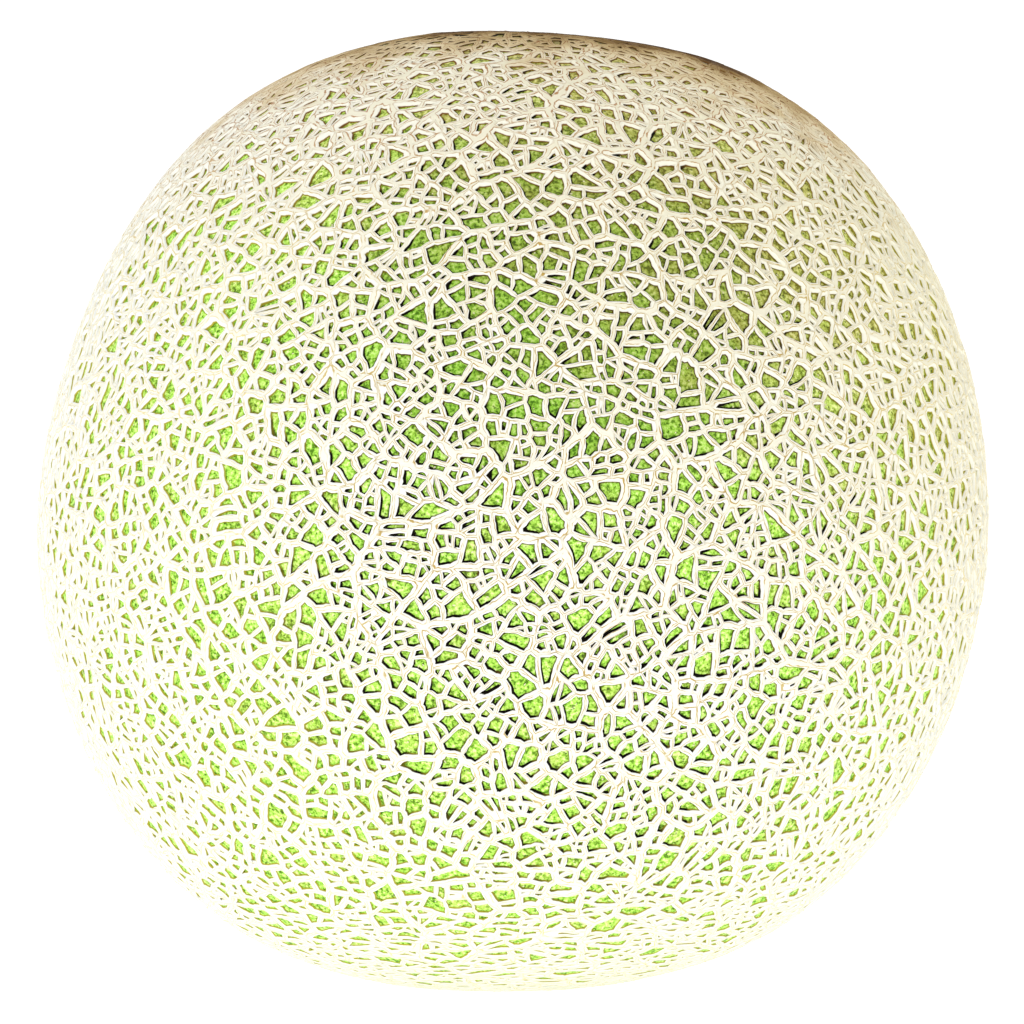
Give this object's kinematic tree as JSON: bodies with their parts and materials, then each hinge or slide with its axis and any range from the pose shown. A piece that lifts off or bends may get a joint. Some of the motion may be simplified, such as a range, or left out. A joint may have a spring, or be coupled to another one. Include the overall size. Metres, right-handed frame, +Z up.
{
  "type": "netted cantaloupe melon",
  "caption": "Whole round netted cantaloupe melon with corky raised net, stem slip scar on top, resting upright on its blossom end.",
  "frame": {"origin": "middle of the flat spot at the blossom end that the fruit rests on", "axes": "+Z up through the stem end; the fruit looks much the same from every side"},
  "size_m": [0.15, 0.15, 0.15],
  "materials": {
    "net": "matte cork",
    "skin": "waxy satin"
  },
  "bodies": {
    "root": {"melon": "net"}
  },
  "joints": []
}
